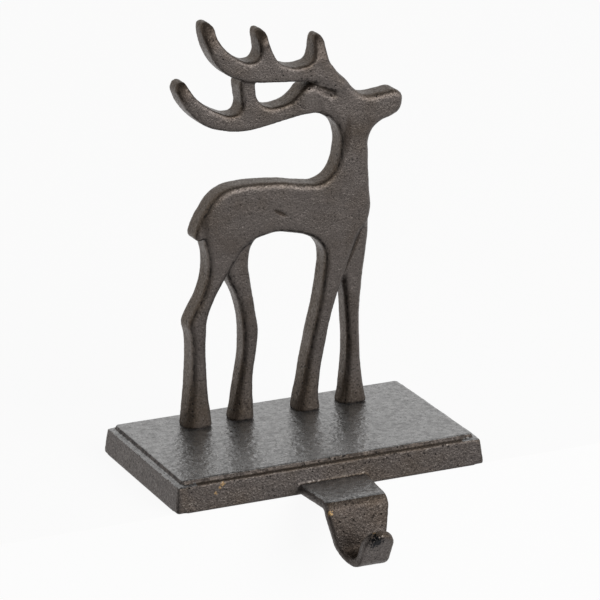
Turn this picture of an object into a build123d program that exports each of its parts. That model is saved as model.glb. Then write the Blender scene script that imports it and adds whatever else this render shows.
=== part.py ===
"""Mantel stocking holder: a cast-iron reindeer on a stepped base whose front edge runs out into a hook.

Millimetres, +Z up. The origin is the middle of the underside of the base, which lies on the mantel shelf.
The hook side faces -Y and the reindeer looks towards +X.
"""
from build123d import *
import os
from math import atan, cos, degrees, radians, sin

# Base casting
BASE_LENGTH = 140.0
BASE_DEPTH = 80.0
WALL_HEIGHT = 11.0  # underside to ledge
WALL_LEAN = 1.35  # draft: how far each wall leans in over its height
CORNER_RADIUS = 1.4  # upright corners at the underside
LEDGE_WIDTH = 2.2  # flat rim between the wall and the raised panel
PANEL_RISE = 1.9  # raised panel above the ledge
PANEL_LEAN = 0.35  # draft of the panel's riser
RIM_ROUND = 0.6  # rounding of the ledge's outer edge and the panel's edge
BASE_TOP = WALL_HEIGHT + PANEL_RISE

# Hook: one strap of the base casting, bent twice, given along its middle line
HOOK_THICKNESS = 4.2
HOOK_REACH = 21.3  # front of the base to the bend
HOOK_LEAN = 14.5  # degrees by which the hanging plate leans out
HOOK_DROP = 16.6  # bend to the start of the curl
BEND_RADIUS = 4.0
CURL_RADIUS = 6.7
LIP_LEAN = 28.0  # degrees by which the lip leans out
LIP_LENGTH = 13.6  # end of the curl to the tip
HOOK_ROOT_WIDTH = 32.4
HOOK_BEND_WIDTH = 27.9
HOOK_CURL_WIDTH = 22.6  # where the curl starts
HOOK_BOTTOM_WIDTH = 15.4  # at the lowest point of the curl
HOOK_LIP_WIDTH = 13.8
STRAP_ROUND = 1.5  # long edges of the strap
TIP_ROUND = 6.5  # corners of the tongue-shaped lip
HOOK_SINK = 6.0  # how far the tab's root lies inside the base

# Reindeer casting
FIGURE_HEIGHT = 174.1  # hoof soles to the top of the antlers
FIGURE_DEPTH = 11.7  # thickness of the trunk
FIGURE_MARGIN = 18.2  # back edge of the base to the middle plane of the figure
FAR_STEP = 1.2  # front face of the far legs and the far antler behind that of the body
FAR_LEG_STEP = 0.5  # back face of the far legs in front of that of the body
ANTLER_RELIEF = 0.6  # near antler in front of the body, far antler behind it
TAIL_STEP = 0.8  # tail behind both faces of the body
BODY_ROUND = 2.4
LEG_ROUND = 2.4
ANTLER_ROUND = 1.3
TAIL_ROUND = 1.3
EAR_DEPTH = 1.1  # hollow of the ear

# Screws that hold the figure on the base
SCREW_RADIUS = 2.0
SCREW_HEAD_RADIUS = 3.9
SCREW_HEAD_HEIGHT = 2.6
SCREW_GRIP = 9.0  # length of thread inside the hoof
SCREW_HOLE_CLEARANCE = 0.25  # round the shank, in the base
COUNTERBORE_CLEARANCE = 0.5  # round the head
COUNTERBORE_DEPTH = 4.2
THREAD_CLEARANCE = 0.05  # round the thread, in the hoof
DRIVE_WIDTH = 2.9  # hexagon socket in the head, across corners
DRIVE_DEPTH = 1.5
TAP_RUN_OUT = 1.5  # tapped hole beyond the screw's end

# The figure is drawn as a side elevation: x towards the nose, z up from the hoof soles, in millimetres
# at DRAWN_HEIGHT. Every outline below, and its rounding, scales with FIGURE_HEIGHT. The legs run on below
# the soles and are trimmed level.
DRAWN_HEIGHT = 174.1


def round_end(x, z, radius, heading):
    """Points round the end of a tine, tail or limb, counter-clockwise; heading is where the end points."""
    turns = [heading + step for step in (-80, -40, 0, 40, 80)]
    return [(x + radius * cos(radians(turn)), z + radius * sin(radians(turn))) for turn in turns]


# Rounded ends of the outlines: x, z and radius
NEAR_HIND_HOOF = (-35.4, -3.0, 6.1)
NEAR_FRONT_HOOF = (15.1, -3.4, 5.1)
FAR_HIND_HOOF = (-14.5, -3.4, 5.0)
FAR_FRONT_HOOF = (37.0, -3.0, 6.1)
FAR_THIGH_TOP = (-12.4, 84.5, 4.6)
FAR_SHOULDER_TOP = (37.6, 84.0, 5.4)
UPPER_ANTLER_TIP = (-29.6, 171.9, 2.2)
MIDDLE_TINE_TIP = (-5.9, 167.2, 1.9)
FRONT_TINE_TIP = (20.6, 161.9, 2.0)
NEAR_ANTLER_ROOT = (28.8, 141.6, 3.0)
FAR_ANTLER_ROOT = (30.0, 131.0, 5.0)
TAIL_ROOT = (-29.9, 92.0, 3.0)
TAIL_TIP = (-34.3, 84.1, 2.2)

# Head, neck, back and rump, near hind leg, belly, near front leg and chest
BODY_OUTLINE = [
    (43.2, 118.0), (45.0, 121.4), (48.4, 124.0), (53.3, 125.7), (56.8, 127.6), (58.3, 131.2),
    (58.1, 134.7), (55.8, 136.7), (49.3, 136.5), (43.8, 136.0), (39.8, 136.7), (36.3, 139.3),
    (31.3, 144.8), (25.5, 149.0), (20.8, 147.4), (19.0, 141.5), (20.8, 134.0), (24.7, 128.5),
    (28.2, 124.1), (29.7, 119.3), (29.5, 113.7), (28.3, 108.2), (25.2, 103.2), (20.2, 100.6),
    (13.3, 100.9), (4.3, 102.7), (-5.7, 103.7), (-14.7, 103.9), (-21.7, 103.0), (-27.2, 100.1),
    (-31.6, 94.6), (-33.2, 88.5), (-32.4, 81.5), (-30.9, 74.5), (-30.9, 67.5), (-33.4, 58.7),
    (-38.0, 50.2), (-39.7, 46.5), (-38.8, 39.7), (-38.6, 29.7), (-39.4, 17.2), (-40.9, 3.7),
    *round_end(*NEAR_HIND_HOOF, 270), (-29.7, 4.7), (-31.0, 14.2), (-31.8, 25.7),
    (-31.8, 39.7), (-30.9, 48.2), (-28.2, 55.2), (-24.5, 61.7), (-19.6, 69.5), (-14.6, 76.0),
    (-9.2, 79.5), (-4.7, 80.7), (0.8, 81.4), (7.3, 80.3), (14.8, 77.9), (19.6, 74.7),
    (22.2, 70.6), (22.7, 66.0), (21.9, 58.7), (19.9, 46.7), (17.1, 35.2), (14.3, 22.7),
    (12.5, 12.7), (10.6, 4.7), *round_end(*NEAR_FRONT_HOOF, 270), (20.1, 8.2), (20.9, 17.2),
    (22.6, 26.7), (25.3, 39.7), (28.2, 49.2), (32.8, 61.2), (35.6, 69.5), (38.8, 76.3),
    (42.0, 79.8), (43.6, 84.8), (43.3, 97.7), (42.8, 109.0),
]
# Upper antler with its two upright tines
NEAR_ANTLER_OUTLINE = [
    (26.8, 149.2), (24.4, 152.6), (23.2, 157.4), *round_end(*FRONT_TINE_TIP, 97),
    (17.7, 157.2), (16.0, 153.3), (12.0, 152.0), (6.3, 152.4), (1.3, 154.9), (-1.1, 158.6),
    (-3.0, 163.2), *round_end(*MIDDLE_TINE_TIP, 108), (-7.5, 163.0), (-7.3, 159.3), (-9.0, 156.6),
    (-12.2, 156.1), (-16.7, 158.1), (-21.5, 161.6), (-25.2, 166.2), *round_end(*UPPER_ANTLER_TIP, 115),
    (-31.2, 166.5), (-29.4, 161.0), (-25.7, 155.3), (-21.5, 151.6), (-16.2, 148.9), (-8.2, 147.2),
    (0.3, 146.3), (8.3, 145.6), (15.3, 144.8), (21.3, 142.9), (25.3, 140.0),
    *round_end(*NEAR_ANTLER_ROOT, -15),
]
# Lower antler with the tine that joins it to the upper one
FAR_ANTLER_OUTLINE = [
    (-39.5, 149.9), (-41.8, 149.6), (-43.0, 147.4), (-42.1, 143.3), (-37.5, 136.2), (-30.7, 130.5),
    (-22.7, 127.7), (-13.7, 126.6), (-4.7, 127.5), (5.3, 129.4), (13.3, 130.7), (19.3, 130.6),
    (24.3, 128.3), *round_end(*FAR_ANTLER_ROOT, 0), (26.2, 138.6), (19.5, 143.0), (13.2, 142.3),
    (10.2, 139.2), (7.2, 137.0), (2.8, 135.7),
    (-2.7, 135.7), (-6.3, 137.8), (-8.2, 140.8), (-8.7, 144.0), (-9.4, 149.0), (-12.5, 151.0),
    (-15.4, 147.8), (-15.3, 142.0), (-14.8, 137.5), (-16.3, 134.7), (-19.7, 134.0), (-24.7, 135.7),
    (-30.5, 139.2), (-35.8, 143.9), (-38.1, 147.5),
]
TAIL_OUTLINE = [
    *round_end(*TAIL_ROOT, 75), (-34.0, 90.9), (-35.8, 87.0), *round_end(*TAIL_TIP, 250),
    (-30.0, 86.0),
]
EAR_OUTLINE = [(14.2, 140.6), (20.2, 141.4), (26.8, 137.6), (21.2, 137.4)]

FAR_HIND_LEG_OUTLINE = [
    *round_end(*FAR_HIND_HOOF, 270), (-9.6, 3.7), (-10.0, 12.7), (-9.7, 21.7), (-8.1, 31.2), (-7.5, 39.7),
    (-9.0, 49.2), (-10.8, 60.7), (-11.8, 70.5), (-10.7, 76.0), (-8.2, 80.4), *round_end(*FAR_THIGH_TOP, 60),
    (-20.4, 78.5), (-22.4, 70.0), (-20.9, 62.6), (-18.0, 56.2), (-15.9, 49.2), (-14.6, 39.7), (-14.7, 30.7),
    (-16.3, 19.7), (-18.3, 8.7),
]
FAR_FRONT_LEG_OUTLINE = [
    *round_end(*FAR_FRONT_HOOF, 270), (41.8, 7.2), (40.5, 16.2), (39.8, 27.7), (39.6, 40.7),
    (40.5, 53.2),
    (42.4, 67.7), (43.4, 77.5), *round_end(*FAR_SHOULDER_TOP, 90), (30.9, 72.0), (31.7, 57.0), (32.6, 46.2),
    (33.1, 37.7), (33.5, 27.7), (33.2, 17.2), (32.1, 7.2),
]
FIGURE_SCALE = FIGURE_HEIGHT / DRAWN_HEIGHT
FIGURE_SET_BACK = BASE_DEPTH / 2 - FIGURE_MARGIN
BODY_FRONT = -FIGURE_DEPTH / 2
BODY_BACK = FIGURE_DEPTH / 2


def biarc(start, heading, end, end_heading):
    """Two tangent arcs from one point to the next, with the given heading at each."""
    chord = end - start
    both = heading + end_heading
    spread = 2 * (1 - heading.dot(end_heading))
    lead = chord.dot(both)
    reach = chord.dot(chord) / (lead + (lead**2 + spread * chord.dot(chord)) ** 0.5)
    middle = (start + end + (heading - end_heading) * reach) / 2
    first = TangentArc(start, middle, tangent=heading)
    return [first, TangentArc(middle, end, tangent=first % 1)]


def smooth_face(outline):
    """Face inside a smooth closed chain of arcs through the outline's points, at the figure's own size."""
    points = [Vector(x, z) * FIGURE_SCALE for x, z in outline]
    steps = [after - point for point, after in zip(points, points[1:] + points[:1])]
    headings = [
        (past.normalized() * ahead.length + ahead.normalized() * past.length).normalized()
        for past, ahead in zip(steps[-1:] + steps[:-1], steps)
    ]
    ends = zip(points, headings, points[1:] + points[:1], headings[1:] + headings[:1])
    return make_face([arc.edge() for end in ends for arc in biarc(*end)])


def relief(outline, front, back, rounding):
    """Flat casting between two upright faces, rounded along both rims of its outline."""
    blank = extrude(Plane.XZ * smooth_face(outline), amount=(back - front) / 2, both=True)
    rims = [edge for edge in blank.edges() if abs(edge.tangent_at(0).Y) < 0.5]
    return Pos(0, (front + back) / 2, 0) * fillet(rims, radius=rounding * FIGURE_SCALE)


def ear_hollow(face):
    """Leaf-shaped hollow between the antlers' roots, in the front or back face of the head."""
    pocket = extrude(Plane.XZ * smooth_face(EAR_OUTLINE), amount=EAR_DEPTH, both=True)
    return Pos(0, face, 0) * pocket


def screw_places():
    """Middles of the outer two hooves, which take the screws."""
    return [Pos(x * FIGURE_SCALE, FIGURE_SET_BACK, 0) for x, _, _ in (NEAR_HIND_HOOF, FAR_FRONT_HOOF)]


def rod(radius, bottom, top):
    """Upright cylinder between two levels."""
    return Pos(0, 0, bottom) * Cylinder(radius, top - bottom, align=(Align.CENTER, Align.CENTER, Align.MIN))


def reindeer():
    far_front = BODY_FRONT + FAR_STEP
    far_back = BODY_BACK - FAR_LEG_STEP
    figure = relief(BODY_OUTLINE, BODY_FRONT, BODY_BACK, BODY_ROUND)
    figure += relief(NEAR_ANTLER_OUTLINE, BODY_FRONT - ANTLER_RELIEF, BODY_BACK - FAR_STEP, ANTLER_ROUND)
    figure += relief(FAR_ANTLER_OUTLINE, far_front, BODY_BACK + ANTLER_RELIEF, ANTLER_ROUND)
    figure += relief(FAR_HIND_LEG_OUTLINE, far_front, far_back, LEG_ROUND)
    figure += relief(FAR_FRONT_LEG_OUTLINE, far_front, far_back, LEG_ROUND)
    figure += relief(TAIL_OUTLINE, BODY_FRONT + TAIL_STEP, BODY_BACK - TAIL_STEP, TAIL_ROUND)
    for face in (BODY_FRONT, BODY_BACK):
        figure -= ear_hollow(face)
    figure = split(figure, bisect_by=Plane.XY, keep=Keep.TOP)
    figure = Pos(0, FIGURE_SET_BACK, BASE_TOP) * figure
    tapped = rod(SCREW_RADIUS + THREAD_CLEARANCE, BASE_TOP, BASE_TOP + SCREW_GRIP + TAP_RUN_OUT)
    return figure - [place * tapped for place in screw_places()]


def plate():
    """Leaning walls, ledge and raised panel."""
    foot = RectangleRounded(BASE_LENGTH, BASE_DEPTH, CORNER_RADIUS)
    lower = extrude(foot, amount=WALL_HEIGHT, taper=degrees(atan(WALL_LEAN / WALL_HEIGHT)))
    inset = 2 * (WALL_LEAN + LEDGE_WIDTH)
    panel_foot = RectangleRounded(BASE_LENGTH - inset, BASE_DEPTH - inset, CORNER_RADIUS)
    panel = extrude(panel_foot, amount=PANEL_RISE, taper=degrees(atan(PANEL_LEAN / PANEL_RISE)))
    lower = fillet(lower.edges().group_by(Axis.Z)[-1], radius=RIM_ROUND)
    panel = fillet(panel.edges().group_by(Axis.Z)[-1], radius=RIM_ROUND)
    return lower + Pos(0, 0, WALL_HEIGHT) * panel


def strap_section(edge, share, width):
    """Rounded section of the strap across one stretch of its middle line."""
    across = Plane(origin=edge @ share, x_dir=(1, 0, 0), z_dir=edge % share)
    return across * RectangleRounded(width, HOOK_THICKNESS, STRAP_ROUND)


def stretch(edge, start_width, end_width):
    """Part of the strap along one straight or arc of its middle line."""
    sections = [strap_section(edge, 0, start_width), strap_section(edge, 1, end_width)]
    return sweep(sections, path=edge, multisection=True)


def tongue(edge):
    """Lip with a round end and rounded rims, along the last straight of the middle line."""
    across = Plane(origin=edge @ 0.5, x_dir=(1, 0, 0), z_dir=Vector(1, 0, 0).cross(edge % 0))
    outline = Rectangle(HOOK_LIP_WIDTH, LIP_LENGTH)
    outline = fillet(outline.vertices().group_by(Axis.Y)[-1], radius=TIP_ROUND)
    blank = extrude(across * outline, amount=HOOK_THICKNESS / 2, both=True)
    along = Axis(edge @ 0, edge % 0)
    broad_faces = blank.faces().sort_by(SortBy.AREA)[-2:]
    rims = [rim for face in broad_faces for rim in face.edges().sort_by(along)[1:]]
    return fillet(rims, radius=STRAP_ROUND)


def hook():
    """Flat tab out of the front, plate down, curl and tongue-shaped lip."""
    level = HOOK_THICKNESS / 2
    front = -BASE_DEPTH / 2
    bend = Vector(front - HOOK_REACH, level)
    down = Vector(-sin(radians(HOOK_LEAN)), -cos(radians(HOOK_LEAN)))
    curl_start = bend + down * HOOK_DROP
    run = FilletPolyline((front + HOOK_SINK, level), bend, curl_start, radius=BEND_RADIUS)
    half_turn = (HOOK_LEAN + LIP_LEAN - 180) / 2
    sinking = JernArc(curl_start, down, CURL_RADIUS, half_turn)
    rising = JernArc(sinking @ 1, sinking % 1, CURL_RADIUS, half_turn)
    rise = Line(rising @ 1, rising @ 1 + (rising % 1) * LIP_LENGTH)
    lines = [*run.edges(), sinking.edge(), rising.edge(), rise.edge()]
    tab, corner, hanging, curl_in, curl_out, lip = [Plane.YZ * line for line in lines]
    return tongue(lip) + [
        stretch(tab, HOOK_ROOT_WIDTH, HOOK_BEND_WIDTH),
        stretch(corner, HOOK_BEND_WIDTH, HOOK_BEND_WIDTH),
        stretch(hanging, HOOK_BEND_WIDTH, HOOK_CURL_WIDTH),
        stretch(curl_in, HOOK_CURL_WIDTH, HOOK_BOTTOM_WIDTH),
        stretch(curl_out, HOOK_BOTTOM_WIDTH, HOOK_LIP_WIDTH),
    ]


def base():
    casting = plate() + hook()
    hole = rod(SCREW_RADIUS + SCREW_HOLE_CLEARANCE, 0, BASE_TOP)
    counterbore = rod(SCREW_HEAD_RADIUS + COUNTERBORE_CLEARANCE, 0, COUNTERBORE_DEPTH)
    return casting - [place * tool for place in screw_places() for tool in (hole, counterbore)]


def screws():
    head_bottom = COUNTERBORE_DEPTH - SCREW_HEAD_HEIGHT
    screw = rod(SCREW_HEAD_RADIUS, head_bottom, COUNTERBORE_DEPTH)
    screw += rod(SCREW_RADIUS, COUNTERBORE_DEPTH, BASE_TOP + SCREW_GRIP)
    socket = extrude(RegularPolygon(DRIVE_WIDTH / 2, 6), amount=DRIVE_DEPTH)
    screw -= Pos(0, 0, head_bottom) * socket
    return Compound(children=[place * screw for place in screw_places()])


def main():
    os.makedirs("parts", exist_ok=True)
    export_step(base(), "parts/base.step")
    export_step(reindeer(), "parts/reindeer.step")
    export_step(screws(), "parts/figure_screws.step")


main()
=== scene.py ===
"""Looks of a mantel stocking holder: a cast iron reindeer on a stepped base with a hook."""

import math
from typing import NamedTuple

import bpy
from bpy.props import FloatProperty, FloatVectorProperty, PointerProperty
from bpy.types import Operator, Panel, PropertyGroup
from mathutils import Matrix, Vector


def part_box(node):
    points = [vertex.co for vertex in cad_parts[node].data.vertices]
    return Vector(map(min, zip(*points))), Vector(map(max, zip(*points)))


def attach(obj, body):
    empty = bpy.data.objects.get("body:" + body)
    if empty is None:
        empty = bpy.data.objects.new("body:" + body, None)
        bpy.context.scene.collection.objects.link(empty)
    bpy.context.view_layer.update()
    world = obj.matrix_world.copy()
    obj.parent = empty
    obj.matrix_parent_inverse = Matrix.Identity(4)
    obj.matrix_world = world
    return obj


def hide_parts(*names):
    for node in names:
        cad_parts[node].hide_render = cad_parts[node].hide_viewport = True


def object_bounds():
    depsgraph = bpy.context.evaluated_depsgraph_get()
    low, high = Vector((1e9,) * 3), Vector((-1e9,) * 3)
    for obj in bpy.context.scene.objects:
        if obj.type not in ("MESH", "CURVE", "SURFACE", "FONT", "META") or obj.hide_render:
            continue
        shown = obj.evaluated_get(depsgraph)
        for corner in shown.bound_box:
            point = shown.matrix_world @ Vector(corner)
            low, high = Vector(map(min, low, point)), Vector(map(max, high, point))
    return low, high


bl_info = {
    "name": "Mantel stocking holder",
    "version": (1, 0, 0),
    "blender": (4, 5, 0),
    "location": "View3D > Sidebar > Holder",
    "description": "Dresses the cast iron reindeer stocking holder and sets up its studio",
    "category": "Object",
}

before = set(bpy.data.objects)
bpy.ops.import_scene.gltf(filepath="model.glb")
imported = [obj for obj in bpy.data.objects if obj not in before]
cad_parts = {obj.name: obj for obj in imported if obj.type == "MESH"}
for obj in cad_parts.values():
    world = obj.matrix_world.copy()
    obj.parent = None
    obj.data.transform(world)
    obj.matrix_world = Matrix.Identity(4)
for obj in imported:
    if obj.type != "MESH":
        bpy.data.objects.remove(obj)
CAD_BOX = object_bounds()
MM = 0.001
TINY = 1e-6  # keeps a share in the middle of a hoof from being divided by 0

SHELF_TOP = 0.0
FIGURE_LOW, FIGURE_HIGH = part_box("reindeer")
SOLE_HEIGHT = FIGURE_LOW.z  # the soles stand on the base's top panel
PANEL_FOOT = SOLE_HEIGHT - 2.0 * MM
BASE_FRONT = -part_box("base")[1].y  # the base's box itself reaches on to the hook
WELD = 0.002 * MM  # merges the loose triangles of a CAD mesh

# Antler tips in side elevation, as x and z: place, direction and reach of the rounding
ANTLER_TIPS = (
    (Vector((-0.0306, 0.1865)), Vector((-0.5, 0.866)), 12.0 * MM),
    (Vector((-0.0065, 0.1818)), Vector((-0.35, 0.937)), 6.0 * MM),
    (Vector((0.0204, 0.1766)), Vector((-0.09, 0.996)), 11.0 * MM),
    (Vector((-0.0416, 0.1637)), Vector((-0.53, 0.848)), 8.0 * MM),
)
TIP_EASE = 1.8  # above 1, holds the rounding near the tip
TIP_REACH = 2.0 * MM

# Where the lower antler runs into the head: the seam, and in mm the block that comes flush
ANTLER_ROOT = (Vector((0.0200, 0.1565)), Vector((0.0235, 0.1440)))
ROOT_REACH = 3.2 * MM
ROOT_BLOCK = ((4.0, 24.0), (16.4, 18.6), (139.0, 157.0))
ROOT_RUN = 12.0
ROOT_FADE = 1.2
ROOT_STEP = 1.1 * MM
FRONT_FACING = -0.3

LEG_GAPS = (-0.024, 0.0, 0.0297)  # x between the hooves
LEG_TOP = SOLE_HEIGHT + 80.0 * MM
HOOF_EASE = 1.5  # above 1, holds the oval low on the leg
HOOF_POWER = 2.2  # 2 gives an ellipse, more gives squarer ends
HOOF_DRAW = 0.45
HOOF_TWIST = 0.25  # two corners are drawn in more than the other two
SOLE_ROUND = 1.2 * MM
SOLE_DRAW = 0.1
SOLE_REACH = 3.0 * MM
SOLE_SINK = 0.3 * MM

# Grooves in the figure's front, as x and z: start, end, half width and depth
GROOVES = (
    (Vector((-0.0012, 0.1045)), Vector((0.0045, 0.1012)), 0.8 * MM, 0.3 * MM),  # flank's flaw
    (Vector((0.0403, 0.0921)), Vector((0.0304, 0.0697)), 0.9 * MM, 0.35 * MM),  # shoulder's crease
    (Vector((0.0170, 0.1550)), Vector((0.0278, 0.1502)), 1.9 * MM, 0.45 * MM),  # ear
    (Vector((0.0168, 0.1564)), Vector((0.0278, 0.1516)), 0.9 * MM, 0.35 * MM),  # fold over the ear
)
GROOVE_REACH = 3.0 * MM  # only skin this near to the front is pressed

# Edges that look to the front left are rubbed round, those of the legs hardly
WORN_FACING = Vector((-0.62, -0.55, 0.56))
WORN_GAIN = 2.0
WORN_FROM = 0.5
LEG_WEAR = 0.05

# Painted shade lies in dark lines along edges: how far they look to the front, as middle and half
# width of a band, and from which turn to the side, and how fast, it sets in
LEFT_BAND = (0.72, 0.2)
LEFT_FROM = 0.3
LEFT_GAIN = 4.0
UNDER_BAND = (0.84, 0.16)
UNDER_FROM = 0.12
UNDER_GAIN = 5.0
FIGURE_EDGE_SHADE = 1.5
FOOT_EDGE_SHADE = 0.2
FOOT_EDGE_SHADE_REACH = 45.0 * MM
WALL_BAND = (0.62, 0.25)
RIM_EDGE_SHADE = 1.3
FRONT_RIM = 0.6
RIM_FACING = 0.95

# Base: softening of its corners, share of the grain on its panel, and what counts as flat
BASE_SOFTNESS = 0.7
CORNER_START = (0.065, 0.035)
PANEL_GRAIN = 0.3
PANEL_SKIN = 0.5 * MM
SHELF_SKIN = 0.3 * MM
UNDERSIDE_SKIN = 0.1 * MM
UNDERSIDE_MARGIN = 1.5 * MM
DOWNWARD = -0.99

# Burnished tops: how upright they look, and where panel, tab and ledge begin
BURNISHED_FACING = 0.75
BURNISHED_PANEL = SOLE_HEIGHT - 0.7 * MM
BURNISHED_TAB = 3.4 * MM
BURNISHED_LEDGE = PANEL_FOOT - 0.4 * MM
LEDGE_ENDS = 60.0 * MM
LEDGE_BACK = 30.0 * MM

# Painted shade in dark brown in hollows and creases, on the antler tips' fronts and on the hook:
# middle, half sizes, slope and how strong the shade lies
FIGURE_SHADE_SPOTS = (
    ((0.0224, 0.0165, 0.1526), (0.0060, 0.006, 0.0020), math.radians(24), 0.4),  # ear
    ((0.0223, 0.0165, 0.1541), (0.0060, 0.006, 0.0008), math.radians(24), 0.6),  # fold over the ear
    ((0.0016, 0.0160, 0.1029), (0.0042, 0.003, 0.0011), math.radians(30), 0.8),  # flank's flaw
    ((0.0354, 0.0165, 0.0809), (0.0135, 0.003, 0.0009), math.radians(-66), 0.6),  # crease
    ((0.0326, 0.0165, 0.1330), (0.0020, 0.004, 0.0090), math.radians(2), 0.55),  # beside the neck
    ((-0.0282, 0.0180, 0.1815), (0.0065, 0.006, 0.0075), 0.0, 0.5),  # fronts of the antler tips
    ((-0.0050, 0.0180, 0.1775), (0.0055, 0.006, 0.0065), 0.0, 0.45),
    ((0.0208, 0.0180, 0.1715), (0.0055, 0.006, 0.0080), 0.0, 0.55),
    ((-0.0390, 0.0195, 0.1595), (0.0060, 0.006, 0.0065), 0.0, 0.5),
)
HOOK_SHADE_SPOTS = (
    ((-0.0040, -0.0725, -0.0150), (0.020, 0.008, 0.0075), 0.0, 0.6),  # throat
    ((-0.0040, -0.0660, -0.0030), (0.022, 0.006, 0.0120), 0.0, 0.35),  # hanging plate
)

# Where the bronze undercoat shows through, and the paint on the lip: place and reach
RUBBED_THROUGH = (
    ((-0.0491, -0.0388, 0.0100), 0.0016),
    ((-0.0505, -0.0390, 0.0086), 0.0011),
    ((-0.0525, -0.0394, 0.0066), 0.0012),
    ((-0.0129, -0.0635, 0.0030), 0.0022),
    ((-0.0129, -0.0645, 0.0002), 0.0024),
    ((-0.0132, -0.0660, -0.0026), 0.0010),
    ((-0.0088, -0.0650, -0.0006), 0.0008),
    ((-0.0103, -0.0675, -0.0084), 0.0008),
    ((-0.0063, -0.0675, -0.0090), 0.0008),
    ((-0.0027, -0.0675, -0.0092), 0.0009),
    ((-0.0023, -0.0830, -0.0034), 0.0014),
)
PAINT_BLOTS = (((-0.0019, -0.0836, -0.0064), 0.0050),)


class Finish(NamedTuple):
    """How one surface of a casting was finished."""

    roughness: float
    grain_depth: float
    glint_share: float  # how strongly rubbed grains are tinted
    pit_share: float  # share of the cells that hold a pit
    pit_spacing: float
    dent_size: float
    dent_depth: float
    brown_share: float  # the brown of patches, feet and painted shade at its strongest
    left_side_shade: float  # painted shade in brown on what looks left; below 0, on what looks right
    foot_bloom: float
    dent_shade: float  # painted shade: how dark the dents are painted


FIGURE_FINISH = Finish(
    roughness=0.44,
    grain_depth=0.17 * MM,
    glint_share=0.45,
    pit_share=0.17,
    pit_spacing=1.4 * MM,
    dent_size=4.0 * MM,
    dent_depth=0.14 * MM,
    brown_share=0.85,
    left_side_shade=0.3,
    foot_bloom=0.35,
    dent_shade=0.0,
)
WALL_FINISH = Finish(
    roughness=0.48,
    grain_depth=0.26 * MM,
    glint_share=0.6,
    pit_share=0.22,
    pit_spacing=1.25 * MM,
    dent_size=4.0 * MM,
    dent_depth=0.14 * MM,
    brown_share=0.8,
    left_side_shade=-0.4,
    foot_bloom=0.0,
    dent_shade=0.0,
)
PANEL_FINISH = Finish(
    roughness=0.31,
    grain_depth=0.07 * MM,
    glint_share=0.7,
    pit_share=0.05,
    pit_spacing=1.9 * MM,
    dent_size=2.4 * MM,
    dent_depth=0.32 * MM,
    brown_share=0.12,
    left_side_shade=0.0,
    foot_bloom=0.0,
    dent_shade=0.42,
)

# Sizes of the patterns in the finishes
SAND_GRAIN = 0.85 * MM  # real moulding sand is about 0.3 mm and wouldn't show, so it is coarser
BLOOM_PATCH = 16.0 * MM
EDGE_SHADE_STREAK = 2.2 * MM
BRONZE_SPECK = 0.8 * MM
ZINC_CRYSTAL = 0.6 * MM  # coarser than the real plating, which wouldn't show

# Changes of the iron at the feet, painted shade on what looks up, and between grains and their tops
FOOT_HEIGHT = 28.0 * MM
FOOT_PITS = 0.7
FOOT_DULLING = 0.6
TOP_SHADE = 0.5
PIT_FADE = 0.05
LOW_DULLING = 0.12
TOP_SHINE = 0.08

# Sockets of a Mix node that mixes colours
MIX_FROM, MIX_TO, MIX_RESULT = 6, 7, 2

# Studio
WHITE = (1, 1, 1, 1)
SHELF_SIZE = (6.0, 4.0, 2.0)
SHELF_SET_BACK = 1.0 * MM
SHELF_GLOW = 0.93  # share of plain white that the shelf shows; the rest takes the shadow
KEY_PLACE = Vector((0.75, -1.5, 0.75))
KEY_TARGET = Vector((0.0, 0.0, 0.08))
KEY_SIZE = 1.5
FLAG_SIZE = 1.7
FLAG_TURNS = (-90, -45, 0, 45)
FLAG_STAND = (0.0, -2.0, -0.2)
FLAG_OVERHEAD = (0.0, -0.4, 1.5)

# Camera fitted to the edges of the base
CAMERA_PLACE = (-0.6067, -1.3236, 0.5584)
CAMERA_RIGHT = Vector((0.9082, -0.4185, 0.0))
CAMERA_UP = Vector((0.1331, 0.2889, 0.9481))


def linear(hex_colour):
    """The linear RGB of an sRGB hex colour."""
    channels = [int(hex_colour[i : i + 2], 16) / 255 for i in (1, 3, 5)]
    return tuple(c / 12.92 if c <= 0.04045 else ((c + 0.055) / 1.055) ** 2.4 for c in channels)


def add(tree, kind, links=None, **settings):
    """Adds a node, sets its settings, and fills or links its sockets by name or number."""
    node = tree.nodes.new(kind)
    for name, value in settings.items():
        setattr(node, name, value)
    for socket, source in (links or {}).items():
        if isinstance(source, bpy.types.NodeSocket):
            tree.links.new(source, node.inputs[socket])
        else:
            node.inputs[socket].default_value = source
    return node


def bare_tree(owner):
    """The emptied node tree of a material or a world."""
    owner.use_nodes = True
    owner.node_tree.nodes.clear()
    return owner.node_tree


def clamp(value, low=0.0, high=1.0):
    """A value held between two limits."""
    return max(low, min(value, high))


def band(value, middle, half_width):
    """1 in the middle of a band, falling to 0 at its ends."""
    return max(0.0, 1 - abs(value - middle) / half_width)


def close_by(distance, reach):
    """1 within a reach, falling to 0 at twice that."""
    return clamp(2 - distance / reach)


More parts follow.
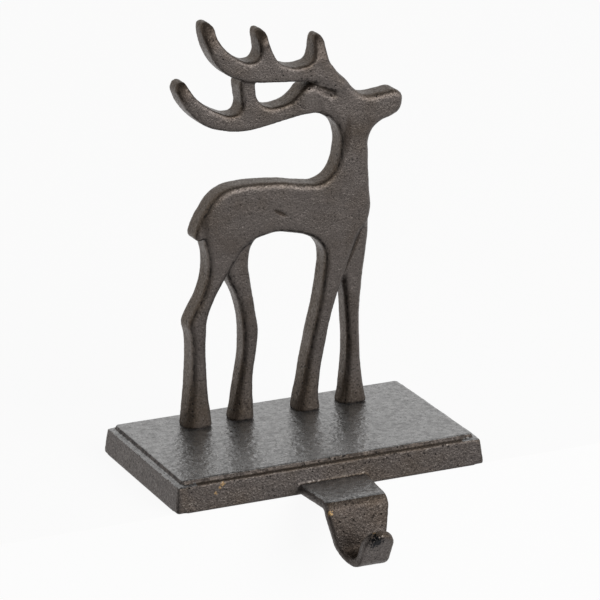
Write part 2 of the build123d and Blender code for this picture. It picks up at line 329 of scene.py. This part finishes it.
class CastingSettings(PropertyGroup):
    """Sizes and colours of the castings and their screws."""

    reindeer_cell: FloatProperty(
        name="Reindeer mesh",
        description="Cell size of the reindeer's skin",
        default=0.55 * MM,
        unit="LENGTH",
    )
    base_cell: FloatProperty(
        name="Base mesh",
        description="Cell size of the base's skin",
        default=0.48 * MM,
        unit="LENGTH",
    )
    sand_depth: FloatProperty(
        name="Sand depth",
        description="How deep the mould's sand bites",
        default=0.16 * MM,
        unit="LENGTH",
    )
    sand_size: FloatProperty(
        name="Sand size",
        description="Width of the lumps that the mould's sand leaves",
        default=1.0 * MM,
        unit="LENGTH",
    )
    swell_depth: FloatProperty(
        name="Swell depth",
        description="Depth of the casting's slow waves",
        default=0.3 * MM,
        unit="LENGTH",
    )
    swell_size: FloatProperty(
        name="Swell size",
        description="Width of the casting's slow waves",
        default=10.0 * MM,
        unit="LENGTH",
    )
    tip_rounding: FloatProperty(
        name="Tip rounding",
        description="Share of its thickness that an antler tip loses",
        default=0.42,
        subtype="FACTOR",
    )
    hoof_reach: FloatProperty(
        name="Hoof reach",
        description="Height over which the hooves turn oval",
        default=36.0 * MM,
        unit="LENGTH",
    )
    iron_colour: FloatVectorProperty(
        name="Iron",
        description="Main colour of the oiled iron",
        default=linear("#6A635F"),
        subtype="COLOR",
    )
    wall_colour: FloatVectorProperty(
        name="Walls",
        description="Colour of the base's walls and hook",
        default=linear("#5B5552"),
        subtype="COLOR",
    )
    # Brown of the patches and the feet, also painted as shade on what looks up or to one side
    bloom_and_shade_colour: FloatVectorProperty(
        name="Brown bloom",
        description="Brown bloom in the iron",
        default=linear("#52473C"),
        subtype="COLOR",
    )
    # Colour of the pits, also painted as shade in the panel's dents and in dark lines along edges
    pit_and_shade_colour: FloatVectorProperty(
        name="Pits",
        description="Colour down in the pits",
        default=linear("#242120"),
        subtype="COLOR",
    )
    glint_colour: FloatVectorProperty(
        name="Glints",
        description="Colour of rubbed grains",
        default=linear("#968F88"),
        subtype="COLOR",
    )
    panel_colour: FloatVectorProperty(
        name="Burnished tops",
        description="Colour of the burnished panel, ledge and tab",
        default=linear("#979797"),
        subtype="COLOR",
    )
    # Dark brown painted as shade in hollows and creases, on the antler tips' fronts and on the hook
    painted_shade_colour: FloatVectorProperty(
        name="Wax",
        description="Dark wax left in the hollows",
        default=linear("#352C25"),
        subtype="COLOR",
    )
    bronze_colour: FloatVectorProperty(
        name="Undercoat",
        description="Bronze that shows where the finish is rubbed",
        default=linear("#B39365"),
        subtype="COLOR",
    )
    paint_colour: FloatVectorProperty(
        name="Paint",
        description="Black paint on the hook's lip",
        default=linear("#0C0D10"),
        subtype="COLOR",
    )
    zinc_colour: FloatVectorProperty(
        name="Zinc",
        description="Plating of the screws",
        default=linear("#B4B3AE"),
        subtype="COLOR",
    )


class StageSettings(PropertyGroup):
    """Studio round the holder."""

    shelf_colour: FloatVectorProperty(
        name="Shelf",
        description="Colour of the pale shelf",
        default=linear("#F4F4F2"),
        subtype="COLOR",
    )
    felt_colour: FloatVectorProperty(
        name="Flags",
        description="Colour of the felt flags that the iron mirrors",
        default=linear("#161616"),
        subtype="COLOR",
    )
    sky_level: FloatProperty(
        name="Room light",
        description="Strength of the even light",
        default=0.4,
    )
    key_power: FloatProperty(
        name="Key lamp",
        description="Power of the large lamp",
        default=26.0,
        unit="POWER",
    )
    lens: FloatProperty(
        name="Lens",
        description="Focal length of the camera in mm",
        default=222.0,
    )


def skin(node_name, piece_name, cell):
    """An even quad skin over a merged copy of a CAD node."""
    bpy.ops.object.select_all(action="DESELECT")
    piece = bpy.data.objects.new(piece_name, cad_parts[node_name].data.copy())
    bpy.context.scene.collection.objects.link(piece)
    piece.select_set(True)
    bpy.context.view_layer.objects.active = piece
    bpy.ops.object.mode_set(mode="EDIT")
    bpy.ops.mesh.select_all(action="SELECT")
    bpy.ops.mesh.remove_doubles(threshold=WELD)
    bpy.ops.object.mode_set(mode="OBJECT")
    remesh = piece.modifiers.new("even skin", "REMESH")
    remesh.mode = "VOXEL"
    remesh.voxel_size = cell
    remesh.use_smooth_shade = True
    bpy.ops.object.modifier_apply(modifier=remesh.name)
    piece.data.materials.clear()
    return piece


def weigh(piece, name, share):
    """A vertex group from a function that gives each place and way of facing its share."""
    group = piece.vertex_groups.new(name=name)
    for vertex in piece.data.vertices:
        weight = share(vertex.co, vertex.normal)
        if weight > 0:
            group.add([vertex.index], min(weight, 1.0), "REPLACE")
    return group.name


def mark(piece, name, share):
    """An attribute from a function that gives each place and way of facing its share."""
    values = piece.data.attributes.new(name, "FLOAT", "POINT").data
    for vertex, value in zip(piece.data.vertices, values):
        value.value = clamp(share(vertex.co, vertex.normal))


def soften(piece, name, share, passes):
    """Rounds a piece's edges where the share is above 0."""
    smooth = piece.modifiers.new(name, "SMOOTH")
    smooth.factor = 0.5
    smooth.iterations = passes
    smooth.vertex_group = weigh(piece, name, share)
    bpy.ops.object.modifier_apply(modifier=smooth.name)
    piece.vertex_groups.clear()


def sand_cast(piece, settings, share):
    """Presses the mould's sand and slow waves into a piece, kept inside the frame's box."""
    for name, size, depth in (
        ("sand", settings.sand_size, settings.sand_depth),
        ("swell", settings.swell_size, settings.swell_depth),
    ):
        lumps = bpy.data.textures.new(f"{piece.name} {name}", "CLOUDS")
        lumps.noise_scale = size
        lumps.noise_depth = 1
        press = piece.modifiers.new(name, "DISPLACE")
        press.texture = lumps
        press.texture_coords = "LOCAL"
        press.mid_level = 0.5
        press.strength = depth
        press.vertex_group = weigh(piece, name, share)
        bpy.ops.object.modifier_apply(modifier=press.name)
        piece.vertex_groups.clear()
    for vertex in piece.data.vertices:
        vertex.co = [clamp(*held) for held in zip(vertex.co, *CAD_BOX)]


def round_tips(piece, settings):
    """Rounds each antler tip back from the front face."""
    for tip, along, length in ANTLER_TIPS:
        for vertex in piece.data.vertices:
            reach = vertex.co.xz - tip
            run = min(1 + reach.dot(along) / length, 1.0)
            if run > 0 and reach.length < length:
                turn = settings.tip_rounding * run**TIP_EASE
                vertex.co.y += (FIGURE_HIGH.y - vertex.co.y) * turn


def round_hooves(piece, settings):
    """Turns the legs from a flat section above to an oval one at the hooves."""
    slices = {}
    for vertex in piece.data.vertices:
        height = vertex.co.z - SOLE_HEIGHT
        if height < settings.hoof_reach:
            leg = sum(vertex.co.x > gap for gap in LEG_GAPS)
            slices.setdefault((leg, round(height / MM)), []).append(vertex)
    for (_, level), ring in slices.items():
        share = max(1 - level * MM / settings.hoof_reach, 0.0) ** HOOF_EASE
        xs = sorted(vertex.co.x for vertex in ring)
        ys = sorted(vertex.co.y for vertex in ring)
        middle = Vector(((xs[0] + xs[-1]) / 2, (ys[0] + ys[-1]) / 2))
        half = Vector(((xs[-1] - xs[0]) / 2, (ys[-1] - ys[0]) / 2))
        for vertex in ring:
            u = (vertex.co.x - middle.x) / half.x
            v = (vertex.co.y - middle.y) / half.y
            radius = (abs(u) ** HOOF_POWER + abs(v) ** HOOF_POWER) ** (1 / HOOF_POWER)
            oval = max(abs(u), abs(v), TINY) / max(radius, TINY)
            draw_in = 1 + (oval - 1) * share * (HOOF_DRAW + HOOF_TWIST * clamp(2 * u * v, -1.0))
            draw_in -= SOLE_DRAW * max(0.0, 1 - (vertex.co.z - SOLE_HEIGHT) / SOLE_ROUND) ** 2
            vertex.co.x = middle.x + (vertex.co.x - middle.x) * draw_in
            vertex.co.y = middle.y + (vertex.co.y - middle.y) * draw_in


def blend_antler_root(piece):
    """Brings the lower antler's front flush with the head as it runs into it."""
    (start, _), (_, back), _ = ROOT_BLOCK
    for vertex in piece.data.vertices:
        place = vertex.co / MM
        if all(low < at < high for at, (low, high) in zip(place, ROOT_BLOCK)):
            run_in = min((place.x - start) / ROOT_RUN, 1.0)
            fade = min(1.0, (back - place.y) / ROOT_FADE)
            vertex.co.y -= ROOT_STEP * run_in**2 * (3 - 2 * run_in) * fade


def press_grooves(piece):
    """Presses the ear, the shoulder's crease and the flank's flaw into the figure's front."""
    for start, end, half_width, depth in GROOVES:
        length = (end - start).length
        along = (end - start) / length
        for vertex in piece.data.vertices:
            reach = vertex.co.xz - start
            run = reach.dot(along) / length
            if vertex.co.y < FIGURE_LOW.y + GROOVE_REACH and 0 < run < 1:
                across = reach.cross(along) / (half_width * math.sin(math.pi * run))
                vertex.co.y += depth * max(0.0, 1 - across**2)


def sink_soles(piece):
    """Lets the soles into the panel a little, so that no light shows under their grain."""
    for vertex in piece.data.vertices:
        share = 1 - (vertex.co.z - SOLE_HEIGHT) / SOLE_REACH
        if share > 0:
            vertex.co.z -= SOLE_SINK * share


# Shares of softening, wear, wax or grain that a point takes by its place and way of facing


def all_over(place, facing):
    return 1.0


def at_tip(place, facing):
    return max(close_by((place.xz - tip).length, TIP_REACH) for tip, _, _ in ANTLER_TIPS)


def at_antler_root(place, facing):
    if facing.y >= FRONT_FACING:
        return 0.0
    start, end = ANTLER_ROOT
    along = end - start
    run = clamp((place.xz - start).dot(along) / along.length_squared)
    return close_by((place.xz - start - along * run).length, ROOT_REACH)


def worn(place, facing):
    share = 1.0 if place.z > LEG_TOP else LEG_WEAR
    return share * clamp(WORN_GAIN * facing.dot(WORN_FACING) - WORN_FROM)


# Painted shade: dark lines along edges that look front-left, fainter at the feet, and along edges
# that look down and to the front
def figure_edge_shade(place, facing):
    left = band(-facing.y, *LEFT_BAND) * clamp(LEFT_GAIN * (-facing.x - LEFT_FROM))
    under = band(-facing.y, *UNDER_BAND) * clamp(UNDER_GAIN * (-facing.z - UNDER_FROM))
    above_feet = clamp(FOOT_EDGE_SHADE + (place.z - SOLE_HEIGHT) / FOOT_EDGE_SHADE_REACH)
    return FIGURE_EDGE_SHADE * max(left * above_feet, under)


def base_softness(place, facing):
    return BASE_SOFTNESS


def at_corner(place, facing):
    x, y = CORNER_START
    return min(abs(place.x) - x, abs(place.y) - y) / MM


# Painted shade: dark lines on walls that look left and along the rim's left and front edges
def base_edge_shade(place, facing):
    on_rim = place.z > PANEL_FOOT and facing.z < RIM_FACING
    rim = max(-facing.x, -FRONT_RIM * facing.y) if on_rim else 0.0
    return max(band(-facing.x, *WALL_BAND), RIM_EDGE_SHADE * rim)


def base_grain(place, facing):
    if place.z > SOLE_HEIGHT - PANEL_SKIN:
        return PANEL_GRAIN
    on_shelf = abs(place.z - SHELF_TOP) < SHELF_SKIN and place.y > BASE_FRONT
    return 0.0 if on_shelf else 1.0


def flatten_underside(piece):
    """Puts a few large faces in place of the flat underside's many cells."""
    bpy.ops.object.mode_set(mode="EDIT")
    bpy.ops.mesh.select_mode(type="FACE")
    bpy.ops.mesh.select_all(action="DESELECT")
    bpy.ops.object.mode_set(mode="OBJECT")
    for face in piece.data.polygons:
        behind_front = face.center.y > BASE_FRONT + UNDERSIDE_MARGIN
        on_shelf = abs(face.center.z - SHELF_TOP) < UNDERSIDE_SKIN
        face.select = behind_front and on_shelf and face.normal.z < DOWNWARD
    bpy.ops.object.mode_set(mode="EDIT")
    bpy.ops.mesh.delete(type="FACE")
    bpy.ops.mesh.select_mode(type="EDGE")
    bpy.ops.mesh.select_non_manifold()
    bpy.ops.mesh.fill(use_beauty=False)
    bpy.ops.object.mode_set(mode="OBJECT")


def is_burnished(face):
    """Whether a face of the base is on top of the panel, the tab or the ledge's sides and back."""
    x, y, z = face.center
    on_panel = z > BURNISHED_PANEL
    on_tab = y < BASE_FRONT and z > BURNISHED_TAB
    on_ledge = (abs(x) > LEDGE_ENDS or y > LEDGE_BACK) and z > BURNISHED_LEDGE
    return face.normal.z > BURNISHED_FACING and (on_panel or on_tab or on_ledge)


def pitted(tree, place, foot, finish):
    """Mask of the pits, which crowd together at the feet."""
    cells = add(tree, "ShaderNodeTexVoronoi", {"Vector": place, "Scale": 1 / finish.pit_spacing})
    crowded = add(
        tree,
        "ShaderNodeMath",
        {0: foot, 1: FOOT_PITS, 2: cells.outputs["Color"]},
        operation="MULTIPLY_ADD",
    )
    chosen = add(
        tree,
        "ShaderNodeMapRange",
        {
            "Value": crowded.outputs["Value"],
            "From Min": 1 - finish.pit_share,
            "From Max": 1 + PIT_FADE - finish.pit_share,
        },
    )
    hollow = add(
        tree,
        "ShaderNodeMapRange",
        {
            "Value": cells.outputs["Distance"],
            "From Min": 0.16,
            "From Max": 0.42,
            "To Min": 1.0,
            "To Max": 0.0,
        },
    )
    pit = add(
        tree,
        "ShaderNodeMath",
        {0: chosen.outputs["Result"], 1: hollow.outputs["Result"]},
        operation="MULTIPLY",
    )
    return pit.outputs["Value"]


def bloom_and_side_shade(tree, coordinates, foot, settings, colour, finish):
    """The iron's colour, browner in patches and at the feet, with painted shade in a darker brown
    on what looks up or to one side.
    """
    patches = add(
        tree,
        "ShaderNodeTexNoise",
        {"Vector": coordinates.outputs["Object"], "Scale": 1 / BLOOM_PATCH, "Detail": 3.0},
    )
    # Painted shade: what looks up, and what looks to one side, takes a darker brown
    side_shade = add(
        tree,
        "ShaderNodeVectorMath",
        {0: coordinates.outputs["Normal"], 1: (-finish.left_side_shade, 0.0, TOP_SHADE)},
        operation="DOT_PRODUCT",
    )
    bloom_and_shade = side_shade.outputs["Value"]
    for more in (patches.outputs["Fac"], foot):
        bloom_and_shade = add(tree, "ShaderNodeMath", {0: bloom_and_shade, 1: more}, operation="ADD").outputs["Value"]
    brown = add(
        tree,
        "ShaderNodeMapRange",
        {"Value": bloom_and_shade, "From Min": 0.45, "From Max": 0.95, "To Max": finish.brown_share},
    )
    body = add(
        tree,
        "ShaderNodeMix",
        {
            "Factor": brown.outputs["Result"],
            MIX_FROM: (*colour, 1),
            MIX_TO: (*settings.bloom_and_shade_colour, 1),
        },
        data_type="RGBA",
    )
    return body.outputs[MIX_RESULT]


def darkened(tree, place, sand, dents, pit, finish):
    """Mask of what is dark: pits, the lows of the grain, painted shade in the dents and painted
    shade in dark lines along the edges.
    """
    low = add(
        tree,
        "ShaderNodeMapRange",
        {"Value": sand, "From Min": 0.28, "From Max": 0.46, "To Min": 0.75, "To Max": 0.0},
    )
    # Painted shade in the low parts of the dents
    dent_shade = add(
        tree,
        "ShaderNodeMapRange",
        {"Value": dents, "From Min": 0.3, "From Max": 0.6, "To Min": finish.dent_shade, "To Max": 0.0},
    )
    # Painted shade: dark lines along the marked edges, broken up in streaks
    edge = add(tree, "ShaderNodeAttribute", attribute_name="painted_dark_edge")
    streaks = add(
        tree, "ShaderNodeTexNoise", {"Vector": place, "Scale": 1 / EDGE_SHADE_STREAK, "Detail": 2.0}
    )
    gaps = add(
        tree,
        "ShaderNodeMapRange",
        {
            "Value": streaks.outputs["Fac"],
            "From Min": 0.4,
            "From Max": 0.6,
            "To Min": 0.15,
            "To Max": 0.9,
        },
    )
    painted_shade = add(
        tree,
        "ShaderNodeMath",
        {0: edge.outputs["Fac"], 1: gaps.outputs["Result"]},
        operation="MULTIPLY",
    )
    dark = pit
    for more in (low.outputs["Result"], dent_shade.outputs["Result"], painted_shade.outputs["Value"]):
        dark = add(tree, "ShaderNodeMath", {0: dark, 1: more}, operation="MAXIMUM").outputs["Value"]
    return dark


def embossed(tree, sand, dents, pit, finish):
    """Normal of the fine relief: sand grain, pits and shallow dents."""
    sunk = add(tree, "ShaderNodeMath", {0: sand, 1: pit}, operation="SUBTRACT")
    height = add(
        tree,
        "ShaderNodeMath",
        {0: dents, 1: finish.dent_depth / finish.grain_depth, 2: sunk.outputs["Value"]},
        operation="MULTIPLY_ADD",
    )
    bump = add(
        tree,
        "ShaderNodeBump",
        {"Height": height.outputs["Value"], "Strength": 1.0, "Distance": finish.grain_depth},
    )
    return bump.outputs["Normal"]


def cast_iron(name, settings, colour, finish):
    """Cast iron out of a sand mould, tumbled, then oiled or burnished."""
    material = bpy.data.materials.new(name)
    tree = bare_tree(material)
    coordinates = add(tree, "ShaderNodeTexCoord")
    place = coordinates.outputs["Object"]
    sand = add(
        tree,
        "ShaderNodeTexNoise",
        {"Vector": place, "Scale": 1 / SAND_GRAIN, "Detail": 2.0, "Roughness": 0.6},
    ).outputs["Fac"]
    dents = add(
        tree, "ShaderNodeTexNoise", {"Vector": place, "Scale": 1 / finish.dent_size, "Detail": 1.0}
    ).outputs["Fac"]
    foot = add(
        tree,
        "ShaderNodeMapRange",
        {
            "Value": add(tree, "ShaderNodeSeparateXYZ", {0: place}).outputs["Z"],
            "From Min": SOLE_HEIGHT,
            "From Max": SOLE_HEIGHT + FOOT_HEIGHT,
            "To Min": finish.foot_bloom,
            "To Max": 0.0,
        },
    ).outputs["Result"]
    pit = pitted(tree, place, foot, finish)
    rubbed = add(
        tree,
        "ShaderNodeMapRange",
        {"Value": sand, "From Min": 0.58, "From Max": 0.78, "To Max": finish.glint_share},
    )
    glints = add(
        tree,
        "ShaderNodeMix",
        {
            "Factor": rubbed.outputs["Result"],
            MIX_FROM: bloom_and_side_shade(tree, coordinates, foot, settings, colour, finish),
            MIX_TO: (*settings.glint_colour, 1),
        },
        data_type="RGBA",
    )
    grainy = add(
        tree,
        "ShaderNodeMix",
        {
            "Factor": darkened(tree, place, sand, dents, pit, finish),
            MIX_FROM: glints.outputs[MIX_RESULT],
            MIX_TO: (*settings.pit_and_shade_colour, 1),
        },
        data_type="RGBA",
    )
    matt = add(
        tree,
        "ShaderNodeMapRange",
        {
            "Value": sand,
            "From Min": 0.3,
            "From Max": 0.7,
            "To Min": finish.roughness + LOW_DULLING,
            "To Max": finish.roughness - TOP_SHINE,
        },
    )
    dulled = add(
        tree,
        "ShaderNodeMath",
        {0: foot, 1: FOOT_DULLING, 2: matt.outputs["Result"]},
        operation="MULTIPLY_ADD",
    )
    shader = add(
        tree,
        "ShaderNodeBsdfPrincipled",
        {
            "Base Color": grainy.outputs[MIX_RESULT],
            "Metallic": 0.9,
            "Roughness": dulled.outputs["Value"],
            "Normal": embossed(tree, sand, dents, pit, finish),
        },
        name="iron",
    )
    add(tree, "ShaderNodeOutputMaterial", {"Surface": shader.outputs["BSDF"]})
    return material


def wear(material, settings):
    """Rubs specks of bronze undercoat through the finish and drops black paint on the lip."""
    tree = material.node_tree
    shader = tree.nodes["iron"]
    colour = shader.inputs["Base Color"].links[0].from_socket
    place = add(tree, "ShaderNodeTexCoord").outputs["Object"]
    specks = add(
        tree, "ShaderNodeTexNoise", {"Vector": place, "Scale": 1 / BRONZE_SPECK, "Detail": 2.0}
    )
    # Bronze is thin and broken, the paint thick with a firm edge: where each is full, and its cover
    for spots, tint, full, cover in (
        (RUBBED_THROUGH, settings.bronze_colour, 1.0, 0.65),
        (PAINT_BLOTS, settings.paint_colour, 0.88, 1.0),
    ):
        shown = 0.0
        for spot, reach in spots:
            away = add(tree, "ShaderNodeVectorMath", {0: place, 1: spot}, operation="DISTANCE")
            near = add(
                tree,
                "ShaderNodeMapRange",
                {"Value": away.outputs["Value"], "From Max": reach, "To Min": 0.75, "To Max": 0.0},
            )
            nearest = add(
                tree, "ShaderNodeMath", {0: shown, 1: near.outputs["Result"]}, operation="MAXIMUM"
            )
            shown = nearest.outputs["Value"]
        broken = add(
            tree, "ShaderNodeMath", {0: shown, 1: specks.outputs["Fac"]}, operation="ADD"
        )
        mask = add(
            tree,
            "ShaderNodeMapRange",
            {"Value": broken.outputs["Value"], "From Min": 0.78, "From Max": full, "To Max": cover},
        )
        tinted = add(
            tree,
            "ShaderNodeMix",
            {"Factor": mask.outputs["Result"], MIX_FROM: colour, MIX_TO: (*tint, 1)},
            data_type="RGBA",
        )
        colour = tinted.outputs[MIX_RESULT]
    tree.links.new(colour, shader.inputs["Base Color"])


def paint_shade_spots(material, settings, hollows_to_shade):
    """Paints shade in dark brown over given spots of a casting, in its hollows and creases and on
    some of its faces.
    """
    tree = material.node_tree
    shader = tree.nodes["iron"]
    colour = shader.inputs["Base Color"].links[0].from_socket
    place = add(tree, "ShaderNodeTexCoord").outputs["Object"]
    for middle, half, slope, shade_strength in hollows_to_shade:
        inside = add(
            tree,
            "ShaderNodeMapping",
            {"Vector": place, "Location": middle, "Rotation": (0, slope, 0), "Scale": half},
            vector_type="TEXTURE",
        )
        away = add(
            tree, "ShaderNodeVectorMath", {0: inside.outputs["Vector"]}, operation="LENGTH"
        )
        mask = add(
            tree,
            "ShaderNodeMapRange",
            {
                "Value": away.outputs["Value"],
                "From Min": 0.6,
                "From Max": 1.0,
                "To Min": shade_strength,
                "To Max": 0.0,
            },
        )
        painted_shade = add(
            tree,
            "ShaderNodeMix",
            {"Factor": mask.outputs["Result"], MIX_FROM: colour, MIX_TO: (*settings.painted_shade_colour, 1)},
            data_type="RGBA",
        )
        colour = painted_shade.outputs[MIX_RESULT]
    tree.links.new(colour, shader.inputs["Base Color"])


class HOLDER_OT_reindeer(Operator):
    """Cast the reindeer with its sand-grained skin"""

    bl_idname = "holder.reindeer"
    bl_label = "Reindeer"

    def execute(self, context):
        settings = context.scene.holder_castings
        piece = skin("reindeer", "reindeer_casting", settings.reindeer_cell)
        soften(piece, "all over", all_over, passes=2)
        round_tips(piece, settings)
        soften(piece, "tips", at_tip, passes=12)
        round_hooves(piece, settings)
        blend_antler_root(piece)
        soften(piece, "worn edges", worn, passes=22)
        soften(piece, "antler root", at_antler_root, passes=40)
        press_grooves(piece)
        # Painted shade: dark lines along edges that look front-left or down
        mark(piece, "painted_dark_edge", figure_edge_shade)
        sand_cast(piece, settings, all_over)
        sink_soles(piece)

        # Oil on sand-cast iron: a half matt dark grey, with glints on rubbed grains, black pits and
        # brown patches, and painted shade: darker brown on what looks up or left, dark lines along
        # edges that look front-left or down, and dark brown in hollows and creases
        iron = cast_iron("oiled cast iron, figure", settings, settings.iron_colour, FIGURE_FINISH)
        # Painted shade in dark brown in the hollows, creases and antler tips' fronts
        paint_shade_spots(iron, settings, FIGURE_SHADE_SPOTS)
        piece.data.materials.append(iron)
        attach(piece, "root")
        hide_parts("reindeer")
        return {"FINISHED"}


class HOLDER_OT_base(Operator):
    """Cast the stepped base with its stocking hook"""

    bl_idname = "holder.base"
    bl_label = "Base and hook"

    def execute(self, context):
        settings = context.scene.holder_castings
        piece = skin("base", "base_casting", settings.base_cell)
        soften(piece, "all over", base_softness, passes=1)
        soften(piece, "corners", at_corner, passes=24)
        # Painted shade: dark lines on walls that look left and along the rim's edges
        mark(piece, "painted_dark_edge", base_edge_shade)
        sand_cast(piece, settings, base_grain)
        flatten_underside(piece)

        # The figure's oiled iron left rougher: coarser grain, more pits and less shine, with
        # painted shade in a darker brown on what looks up or right
        walls = cast_iron("oiled cast iron, walls", settings, settings.wall_colour, WALL_FINISH)
        # Painted shade in dark brown in the hook's throat and on its hanging plate
        paint_shade_spots(walls, settings, HOOK_SHADE_SPOTS)
        wear(walls, settings)
        # Iron rubbed smooth with a hard tool: pale, with soft mirror images and a fine crinkle
        # whose dents hold painted shade
        tops = cast_iron("burnished cast iron", settings, settings.panel_colour, PANEL_FINISH)
        piece.data.materials.append(walls)
        piece.data.materials.append(tops)
        for face in piece.data.polygons:
            face.material_index = int(is_burnished(face))
        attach(piece, "root")
        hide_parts("base")
        return {"FINISHED"}


class HOLDER_OT_screws(Operator):
    """Finish the two screws under the base in zinc-plated steel"""

    bl_idname = "holder.screws"
    bl_label = "Screws"

    def execute(self, context):
        settings = context.scene.holder_castings
        # Zinc laid on turned steel: a pale grey metal, shiny and dull in tiny turns
        material = bpy.data.materials.new("zinc-plated steel")
        tree = bare_tree(material)
        place = add(tree, "ShaderNodeTexCoord").outputs["Object"]
        crystals = add(
            tree, "ShaderNodeTexNoise", {"Vector": place, "Scale": 1 / ZINC_CRYSTAL, "Detail": 2.0}
        )
        dull = add(
            tree,
            "ShaderNodeMapRange",
            {"Value": crystals.outputs["Fac"], "To Min": 0.25, "To Max": 0.45},
        )
        shader = add(
            tree,
            "ShaderNodeBsdfPrincipled",
            {
                "Base Color": (*settings.zinc_colour, 1),
                "Metallic": 1.0,
                "Roughness": dull.outputs["Result"],
            },
        )
        add(tree, "ShaderNodeOutputMaterial", {"Surface": shader.outputs["BSDF"]})
        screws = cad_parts["figure_screws"]
        screws.data.materials.clear()
        screws.data.materials.append(material)
        return {"FINISHED"}


def background_rays(tree):
    """1 for what the camera sees straight, mirrored or through glass, and 0 for other light."""
    path = add(tree, "ShaderNodeLightPath")
    seen = path.outputs["Is Camera Ray"]
    for kind in ("Is Glossy Ray", "Is Transmission Ray"):
        either = add(
            tree, "ShaderNodeMath", {0: seen, 1: path.outputs[kind]}, operation="MAXIMUM"
        )
        seen = either.outputs["Value"]
    return seen


def add_shelf(settings):
    """A pale shelf that ends at the base's front wall, so that the hook hangs clear of it."""
    bpy.ops.object.select_all(action="DESELECT")
    bpy.ops.mesh.primitive_cube_add(size=1)
    shelf = bpy.context.object
    shelf.name = "shelf"
    shelf.scale = SHELF_SIZE
    _, depth, height = SHELF_SIZE
    shelf.location = (0, BASE_FRONT + depth / 2 + SHELF_SET_BACK, SHELF_TOP - height / 2)
    bpy.ops.object.transform_apply(location=True, rotation=True, scale=True)
    # Matt paint has no gloss: a plain white that shows only soft shade
    material = bpy.data.materials.new("matt white paint")
    tree = bare_tree(material)
    matt = add(tree, "ShaderNodeBsdfDiffuse", {"Color": (*settings.shelf_colour, 1)})
    lit = add(tree, "ShaderNodeEmission", {"Color": WHITE, "Strength": 1.0})
    share = add(
        tree, "ShaderNodeMath", {0: background_rays(tree), 1: SHELF_GLOW}, operation="MULTIPLY"
    )
    both = add(
        tree,
        "ShaderNodeMixShader",
        {0: share.outputs["Value"], 1: matt.outputs["BSDF"], 2: lit.outputs["Emission"]},
    )
    add(tree, "ShaderNodeOutputMaterial", {"Surface": both.outputs["Shader"]})
    shelf.data.materials.append(material)


def add_room(settings):
    """White surroundings that light the holder evenly."""
    world = bpy.data.worlds.new("studio")
    bpy.context.scene.world = world
    tree = bare_tree(world)
    level = add(
        tree,
        "ShaderNodeMapRange",
        {"Value": background_rays(tree), "To Min": settings.sky_level, "To Max": 1.0},
    )
    room = add(
        tree, "ShaderNodeBackground", {"Color": WHITE, "Strength": level.outputs["Result"]}
    )
    add(tree, "ShaderNodeOutputWorld", {"Surface": room.outputs["Background"]})


def add_key_lamp(settings):
    """One large lamp in front, to the right of the camera."""
    bpy.ops.object.light_add(type="AREA", location=KEY_PLACE)
    lamp = bpy.context.object
    lamp.name = "key softbox"
    lamp.data.size = KEY_SIZE
    lamp.data.energy = settings.key_power
    lamp.visible_camera = False
    lamp.rotation_euler = (KEY_TARGET - KEY_PLACE).to_track_quat("-Z", "Y").to_euler()


def add_flags(settings):
    """Dark flags in front and overhead, which the iron mirrors as its darker side."""
    # Felt soaks up light: a black without any shine
    felt = bpy.data.materials.new("black felt")
    felt.use_nodes = True
    shader = felt.node_tree.nodes["Principled BSDF"]
    shader.inputs["Base Color"].default_value = (*settings.felt_colour, 1)
    shader.inputs["Roughness"].default_value = 1.0
    upright = Matrix.Translation(FLAG_STAND) @ Matrix.Rotation(math.radians(90), 4, "X")
    stands = [Matrix.Rotation(math.radians(turn), 4, "Z") @ upright for turn in FLAG_TURNS]
    for number, stand in enumerate((*stands, Matrix.Translation(FLAG_OVERHEAD))):
        bpy.ops.mesh.primitive_plane_add(size=FLAG_SIZE)
        flag = bpy.context.object
        flag.name = f"flag_{number}"
        flag.matrix_world = stand
        flag.visible_camera = False
        flag.data.materials.append(felt)


def add_camera(settings):
    """The camera at the photograph's place and angle."""
    lens = bpy.data.cameras.new("camera")
    lens.lens = settings.lens
    lens.sensor_width = 36.0
    lens.clip_start = 0.01
    camera = bpy.data.objects.new("camera", lens)
    bpy.context.scene.collection.objects.link(camera)
    back = CAMERA_RIGHT.cross(CAMERA_UP)
    turn = Matrix((CAMERA_RIGHT, CAMERA_UP, back)).transposed().to_4x4()
    camera.matrix_world = Matrix.Translation(CAMERA_PLACE) @ turn
    bpy.context.scene.camera = camera


class HOLDER_OT_stage(Operator):
    """Set the holder on a pale shelf edge in soft studio light, with the camera"""

    bl_idname = "holder.stage"
    bl_label = "Studio"

    def execute(self, context):
        settings = context.scene.holder_stage
        add_shelf(settings)
        add_room(settings)
        add_key_lamp(settings)
        add_flags(settings)
        add_camera(settings)
        context.scene.view_settings.view_transform = "Standard"
        return {"FINISHED"}


class HOLDER_PT_panel(Panel):
    """Lists the holder's pieces and their settings"""

    bl_idname = "HOLDER_PT_panel"
    bl_label = "Mantel stocking holder"
    bl_space_type = "VIEW_3D"
    bl_region_type = "UI"
    bl_category = "Holder"

    def draw(self, context):
        for settings in (context.scene.holder_castings, context.scene.holder_stage):
            for name in settings.__annotations__:
                self.layout.prop(settings, name)
        for operator in OPERATORS:
            self.layout.operator(operator.bl_idname)


OPERATORS = (HOLDER_OT_reindeer, HOLDER_OT_base, HOLDER_OT_screws, HOLDER_OT_stage)
CLASSES = (CastingSettings, StageSettings, *OPERATORS, HOLDER_PT_panel)


def register():
    for item in CLASSES:
        bpy.utils.register_class(item)
    bpy.types.Scene.holder_castings = PointerProperty(type=CastingSettings)
    bpy.types.Scene.holder_stage = PointerProperty(type=StageSettings)


def unregister():
    del bpy.types.Scene.holder_stage
    del bpy.types.Scene.holder_castings
    for item in reversed(CLASSES):
        bpy.utils.unregister_class(item)


def main():
    register()
    bpy.ops.holder.reindeer()
    bpy.ops.holder.base()
    bpy.ops.holder.screws()
    bpy.ops.holder.stage()


if __name__ == "__main__":
    main()
